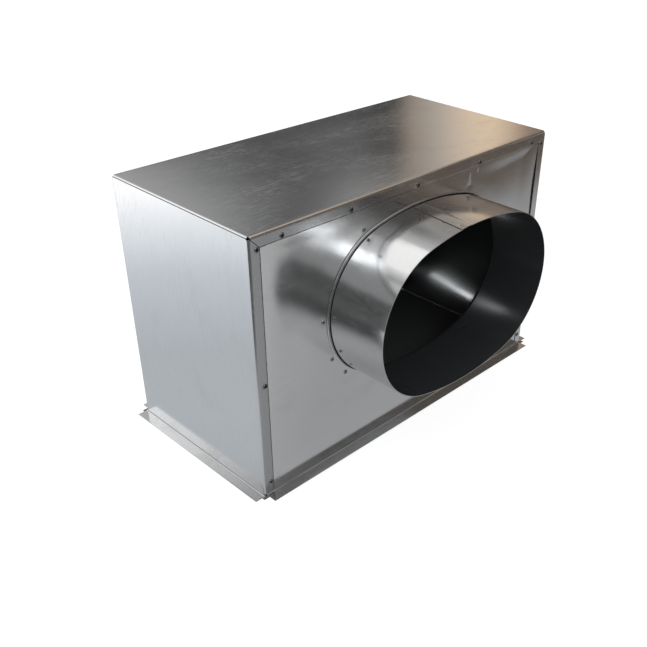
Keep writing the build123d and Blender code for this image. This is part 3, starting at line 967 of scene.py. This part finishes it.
# the lip rivets are a darker copy of the collar rivets' alloy, with heads painted near black: painted shade and dirt
lip_rivet_metal = rivet_metal("rivet_dark", (0.25, 0.25, 0.25), (0.65, 0.65, 0.65), 0.24, dirt_and_shade=0.95)
collar_rivet_metal = rivet_metal("rivet_alloy", (0.45, 0.45, 0.45), (0.70, 0.70, 0.70), 0.26, dirt_and_shade=0.4)
# painted shade: the mandrels are near black, for the dark bore of each rivet
mandrel_steel = rivet_metal("mandrel_steel", (0.008, 0.008, 0.008), (0.04, 0.038, 0.036), 0.5)
for name in rivet_nodes:
    body = collar_rivet_metal if name == "rivets_collar" else lip_rivet_metal
    facing = 1 if name.startswith("rivets_back") else -1
    seat = facing * (panel_face if name == "rivets_collar" else lip_face)
    piece = rivet_piece(name.replace("rivets_", "blind_rivets_"), rivet_places(name), seat, facing, body)
    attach(piece, "root")
    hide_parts(name)
for name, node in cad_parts.items():
    if name.startswith("rivet_mandrels"):
        node.data.materials.clear()
        node.data.materials.append(mandrel_steel)


# Floor, lights and camera


def seen_directly(nodes):
    """1 for camera, glossy and transmission rays."""
    path = nodes.add("LightPath").outputs
    rays = nodes.math("MAXIMUM", path["Is Camera Ray"], path["Is Glossy Ray"])
    return nodes.math("MAXIMUM", rays, path["Is Transmission Ray"])


def flat_object(name, points, material):
    mesh = bpy.data.meshes.new(name)
    mesh.from_pydata(points, [], [tuple(range(len(points)))])
    mesh.materials.append(material)
    thing = bpy.data.objects.new(name, mesh)
    bpy.context.scene.collection.objects.link(thing)
    return thing


def floor_material():
    """Pale floor: lit part that takes the shadow, and a white glow for what sees it directly.

    Under the box there is no glow and the colour is darker, painted shade, so that only the lamps light what shows
    through the collar.
    """
    material = bpy.data.materials.new("pale_floor")
    material.use_nodes = True
    material.node_tree.nodes.clear()
    nodes = Nodes(material.node_tree)
    x, y, z = nodes.split(nodes.add("TexCoord").outputs["Object"])
    outside = nodes.math("MAXIMUM", nodes.math("GREATER_THAN", nodes.math("ABSOLUTE", x), half_width + 5 * MM),
                         nodes.math("GREATER_THAN", nodes.math("ABSOLUTE", y), lip_face + 5 * MM))
    seen = seen_directly(nodes)
    lit = nodes.mix(seen, (0.42, 0.42, 0.42, 1), (0.26, 0.26, 0.26, 1))
    # painted shade: darker floor colour under the box
    lit = nodes.mix(outside, (0.18, 0.18, 0.18, 1), lit)
    diffuse = nodes.add("BsdfDiffuse", {"Color": lit})
    glow = nodes.add("Emission", {"Color": (1, 1, 1, 1), "Strength": nodes.math(
        "MULTIPLY", nodes.math("MULTIPLY", seen, outside), 0.90)})
    both = nodes.add("AddShader", {0: diffuse.outputs[0], 1: glow.outputs[0]})
    nodes.add("OutputMaterial", {"Surface": both.outputs[0]})
    return material


def only_reflected(thing):
    """Seen by glossy rays alone."""
    for ray in ("camera", "diffuse", "shadow", "transmission", "volume_scatter"):
        setattr(thing, "visible_" + ray, False)
    return thing


def glow_material(name):
    material = bpy.data.materials.new(name)
    material.use_nodes = True
    material.node_tree.nodes.clear()
    return material, Nodes(material.node_tree)


def run_of(nodes, value, low, high, stops):
    """Colours along a value: stops are places on the value's own scale with a grey or a colour."""
    share = nodes.add("MapRange", {"Value": value, "From Min": low, "From Max": high}).outputs[0]
    ramp = nodes.add("ValToRGB", {0: share})
    elements = ramp.color_ramp.elements
    while len(elements) < len(stops):
        elements.new(0.5)
    for element, (place, colour) in zip(elements, stops):
        colour = colour if isinstance(colour, tuple) else (colour,) * 3
        element.position, element.color = (place - low) / (high - low), (*colour, 1)
    return ramp.outputs[0]


def floor_sheet():
    """Glowing sheet on the floor that only the metal shows: mid grey in front, darker further off, bright far off at
    the back left, with painted shadow inside the box's footprint.
    """
    material, nodes = glow_material("floor_sheet")
    x, y, z = nodes.split(nodes.add("TexCoord").outputs["Object"])
    away = nodes.math("SQRT", nodes.math("ADD", nodes.math("POWER", x, 2.0), nodes.math("POWER", y, 2.0)))
    back_left = nodes.math("MULTIPLY", nodes.math("SUBTRACT", y, x), 0.7071)
    back_right = nodes.math("MULTIPLY", nodes.math("ADD", y, x), 0.7071)
    ahead = run_of(nodes, away, 0.0, 2.0, FLOOR_AHEAD)
    behind = run_of(nodes, back_left, 0.0, 2.0, FLOOR_BACK_LEFT)
    front_left = nodes.math("MULTIPLY", nodes.math("ADD", x, y), -0.7071)
    ahead = nodes.mix(nodes.step(front_left, 0.24, 0.42), ahead, (0.36, 0.365, 0.37, 1))
    ahead = nodes.mix(nodes.step(front_left, 0.46, 0.80), ahead, (0.06, 0.06, 0.06, 1))
    brown = nodes.math("MULTIPLY", nodes.step(x, 0.45, 0.75), nodes.step(y, -0.72, -0.53, 1.0, 0.0))
    ahead = nodes.mix(brown, ahead, (0.085, 0.068, 0.055, 1))
    tone = nodes.mix(nodes.step(y, -0.22, -0.04), ahead, behind)
    tone = nodes.mix(nodes.step(x, -1.35, -1.05, 1.0, 0.0), tone, (0.10, 0.10, 0.10, 1))
    tone = nodes.mix(nodes.step(back_right, 0.35, 0.75), tone, (0.09, 0.075, 0.065, 1))
    # painted shadow: dark inside the box's footprint, where the box shades the floor
    under = nodes.math("MULTIPLY", nodes.math("LESS_THAN", nodes.math("ABSOLUTE", x), half_width),
                       nodes.math("LESS_THAN", nodes.math("ABSOLUTE", y), lip_face))
    tone = nodes.mix(under, tone, (0.030, 0.030, 0.031, 1))
    glow = nodes.add("Emission", {"Color": tone, "Strength": FLOOR_STRENGTH})
    nodes.add("OutputMaterial", {"Surface": glow.outputs[0]})
    span = ROOM_RADIUS
    level = 0.2 * MM
    return only_reflected(flat_object(
        "floor_sheet", [(-span, -span, level), (span, -span, level), (span, span, level), (-span, span, level)], material))


def room_screen():
    """Tall round screen about the box that only the metal shows. Its colours run with heading and rise."""
    material, nodes = glow_material("room_screen")
    x, y, z = nodes.split(nodes.add("TexCoord").outputs["Object"])
    heading = nodes.math("MULTIPLY", nodes.math("ARCTAN2", x, y), 57.2958)
    rise = nodes.math("MULTIPLY", nodes.math("ARCTANGENT", nodes.math("DIVIDE", z, ROOM_RADIUS)), 57.2958)
    low = run_of(nodes, heading, -180, 180, ROOM_LOW)
    high = run_of(nodes, heading, -180, 180, ROOM_HIGH)
    upper = run_of(nodes, heading, -180, 180, ROOM_UPPER)
    tone = nodes.mix(nodes.step(rise, 18.2, 22.8), low, high)
    tone = nodes.mix(nodes.step(rise, 38.5, 42.5), tone, upper)
    glow = nodes.add("Emission", {"Color": tone, "Strength": 1.0})
    clear = nodes.add("BsdfTransparent")
    top = run_of(nodes, heading, -180, 180, ROOM_TOP)
    edge = nodes.math("SUBTRACT", rise, nodes.math("MULTIPLY", top, 90.0))
    over = nodes.add("MixShader", {0: nodes.step(edge, -5.0, 5.0), 1: glow.outputs[0], 2: clear.outputs[0]})
    nodes.add("OutputMaterial", {"Surface": over.outputs[0]})
    turn = np.linspace(0, 2 * np.pi, 97)[:-1]
    levels = np.linspace(0, 1.5 * ROOM_RADIUS, 10)
    points = np.stack(np.broadcast_arrays(
        ROOM_RADIUS * np.sin(turn)[None], ROOM_RADIUS * np.cos(turn)[None], levels[:, None]), -1)
    rows, columns = points.shape[:2]
    index = np.arange(rows * columns).reshape(rows, columns)
    beside = np.roll(index, -1, 1)
    quads = np.stack([index[:-1], beside[:-1], beside[1:], index[1:]], -1).reshape(-1, 4)
    mesh = bpy.data.meshes.new("room_screen")
    mesh.from_pydata(points.reshape(-1, 3).tolist(), [], quads.tolist())
    mesh.materials.append(material)
    screen = bpy.data.objects.new("room_screen", mesh)
    bpy.context.scene.collection.objects.link(screen)
    return only_reflected(screen)


ROOM_RADIUS = 25.0
FLOOR_STRENGTH = 1.5  # the runs below are shares of this
FLOOR_AHEAD = [(0.0, (0.262, 0.268, 0.272)), (0.5, 0.28), (0.75, 0.37), (0.82, 0.34), (0.95, 0.28), (1.2, 0.22), (2.0, 0.10)]
FLOOR_BACK_LEFT = [
    (0.0, (0.34, 0.36, 0.375)), (0.3, (0.38, 0.40, 0.42)), (0.5, (0.38, 0.40, 0.425)), (0.8, (0.485, 0.51, 0.55)),
    (1.03, (0.70, 0.73, 0.76)), (1.3, (1.0, 1.0, 1.0)), (2.0, (1.0, 1.0, 1.0))]
ROOM_LOW = [
    (-180, 0.20), (-150, 0.12), (-108, 0.10), (-95, 0.20), (-50, 0.18), (-30, 0.50), (15, 0.50), (28, 0.34), (32, 0.16),
    (34.5, 0.075), (38, 0.085), (43, 0.105), (46.5, 0.06), (48.2, 0.05), (49, (0.37, 0.30, 0.24)),
    (50.2, (0.50, 0.42, 0.34)), (51.2, (0.46, 0.44, 0.42)), (52.5, (0.85, 0.66, 0.49)), (55.3, (1.0, 0.76, 0.52)),
    (57.5, (0.24, 0.17, 0.13)), (118, (0.20, 0.16, 0.13)), (121, (0.25, 0.20, 0.16)), (123, (0.75, 0.62, 0.52)),
    (125, (0.30, 0.24, 0.20)), (127, (0.11, 0.09, 0.07)), (132, (0.16, 0.13, 0.10)), (180, 0.20)]
ROOM_HIGH = [
    (-180, 0.34), (-150, 0.42), (-112, 0.42), (-95, 0.5), (-60, 0.5), (-42, 0.62), (-35, 1.1), (-28, 1.6), (-15, 1.45),
    (5, 0.8), (28, 0.54), (31.5, 0.48), (34.5, 0.38), (36.4, 0.27), (38, 0.20), (39.5, 0.14), (41, 0.12), (43, 0.20), (45, 0.38),
    (48, (0.28, 0.26, 0.23)), (51, (0.36, 0.33, 0.30)), (54, (0.55, 0.46, 0.38)), (60, (0.24, 0.19, 0.16)),
    (110, (0.11, 0.09, 0.075)), (125, (0.11, 0.10, 0.085)), (130, (0.13, 0.115, 0.10)), (136, (0.08, 0.072, 0.065)),
    (142, (0.08, 0.075, 0.07)), (152, 0.30), (180, 0.40)]
ROOM_UPPER = [
    (-180, 0.42), (-150, 0.55), (-60, 0.30), (-28, 0.35), (-16, 0.8), (20, 0.9), (34, 0.64), (40, 0.50),
    (50, (0.50, 0.40, 0.32)), (118, (0.50, 0.40, 0.32)), (130, (0.18, 0.15, 0.12)), (136, 0.14), (140, 0.18), (144, 0.46), (152, 0.32),
    (180, 0.42)]
ROOM_TOP = [(-180, 0.49), (-150, 0.50), (-60, 0.54), (-20, 0.52), (0, 0.48), (30, 0.49), (45, 0.66), (135, 0.70), (160, 0.54)]  # of 90 degrees

floor_span = 30.0
floor = flat_object("floor", [(-floor_span, -floor_span, 0), (floor_span, -floor_span, 0),
                              (floor_span, floor_span, 0), (-floor_span, floor_span, 0)], floor_material())
floor_sheet()
room_screen()


def card(name, corners, colour, strength):
    """Glowing card inside the box that only glossy rays see: the paint's streaks are its reflections."""
    material, nodes = glow_material(name)
    glow = nodes.add("Emission", {"Color": (*colour, 1), "Strength": strength})
    nodes.add("OutputMaterial", {"Surface": glow.outputs[0]})
    return only_reflected(flat_object(name, corners, material))


CARD_RISE = 0.3 * MM
card("floor_card", [(0.197, 0.160, CARD_RISE), (0.207, 0.160, CARD_RISE), (0.234, 0.020, CARD_RISE),
                    (0.224, 0.020, CARD_RISE)], (0.93, 0.98, 1.0), 30.0)
card("ceiling_card", [(-0.005, -0.050, 0.380), (0.035, -0.050, 0.380), (0.035, 0.030, 0.380), (-0.005, 0.030, 0.380)],
     (0.93, 0.98, 1.0), 9.0)
card("left_card", [(-0.296, 0.020, 0.004), (-0.296, 0.120, 0.012), (-0.296, 0.120, 0.024), (-0.296, 0.020, 0.016)],
     (0.85, 1.0, 1.0), 1.2)

world = bpy.data.worlds.new("studio")
bpy.context.scene.world = world
world.use_nodes = True
world.node_tree.nodes.clear()
nodes = Nodes(world.node_tree)
white = nodes.add("Background", {"Color": (1, 1, 1, 1), "Strength": 1.0})
fill = nodes.add("Background", {"Color": (0.95, 0.97, 1.0, 1), "Strength": 0.55})
both = nodes.add("MixShader", {0: seen_directly(nodes), 1: fill.outputs[0], 2: white.outputs[0]})
nodes.add("OutputWorld", {"Surface": both.outputs[0]})


def softbox(name, heading, rise, distance, size, radiance, colour=(1, 1, 1), reflected=True):
    """Soft rectangular lamp facing the box. Its power is pi times its radiance times its area."""
    turn, lift = np.radians((heading, rise))
    data = bpy.data.lights.new(name, "AREA")
    data.shape, data.size, data.size_y, data.color = "RECTANGLE", size[0], size[1], colour
    data.energy = np.pi * radiance * size[0] * size[1]
    lamp = bpy.data.objects.new(name, data)
    bpy.context.scene.collection.objects.link(lamp)
    aim = Vector((0, 0, height / 2))
    lamp.location = aim + distance * Vector((np.sin(turn) * np.cos(lift), np.cos(turn) * np.cos(lift), np.sin(lift)))
    lamp.rotation_mode = "QUATERNION"
    lamp.rotation_quaternion = (aim - lamp.location).to_track_quat("-Z", "Y")
    lamp.visible_glossy = reflected
    return lamp


softbox("high_back_window", 6, 53, 5.0, (3.4, 1.0), 0.25, (1.0, 0.95, 0.88))
softbox("high_front_window", -157, 45, 5.0, (1.25, 0.95), 2.15, (0.93, 0.98, 1.0))
softbox("room_light", -60, 62, 4.0, (3.0, 3.0), 1.6, reflected=False)

# Camera fitted to the photograph: place, heading, rise and roll, focal length and middle of the picture in pixels
PICTURE = 647
FOCAL = 843.7
MIDDLE = (374.7, 364.7)
CAMERA_PLACE = (-0.8453, -0.8620, 0.7849)
HEADING, RISE, ROLL = np.radians((-46.72, 32.41, 1.19))

back = Vector((np.sin(HEADING) * np.cos(RISE), -np.cos(HEADING) * np.cos(RISE), np.sin(RISE)))
right = Vector((0, 0, 1)).cross(back).normalized()
up = back.cross(right)
rolled_right = right * np.cos(ROLL) + up * np.sin(ROLL)
rolled_up = up * np.cos(ROLL) - right * np.sin(ROLL)
lens = bpy.data.cameras.new("camera")
lens.sensor_width = 36
lens.lens = FOCAL / PICTURE * lens.sensor_width
lens.shift_x = (PICTURE / 2 - MIDDLE[0]) / PICTURE
lens.shift_y = (MIDDLE[1] - PICTURE / 2) / PICTURE
lens.clip_start, lens.clip_end = 0.05, 100
camera = bpy.data.objects.new("camera", lens)
bpy.context.scene.collection.objects.link(camera)
camera.matrix_world = Matrix.Translation(CAMERA_PLACE) @ Matrix((rolled_right, rolled_up, back)).transposed().to_4x4()
bpy.context.scene.camera = camera
bpy.context.scene.view_settings.view_transform = "Standard"
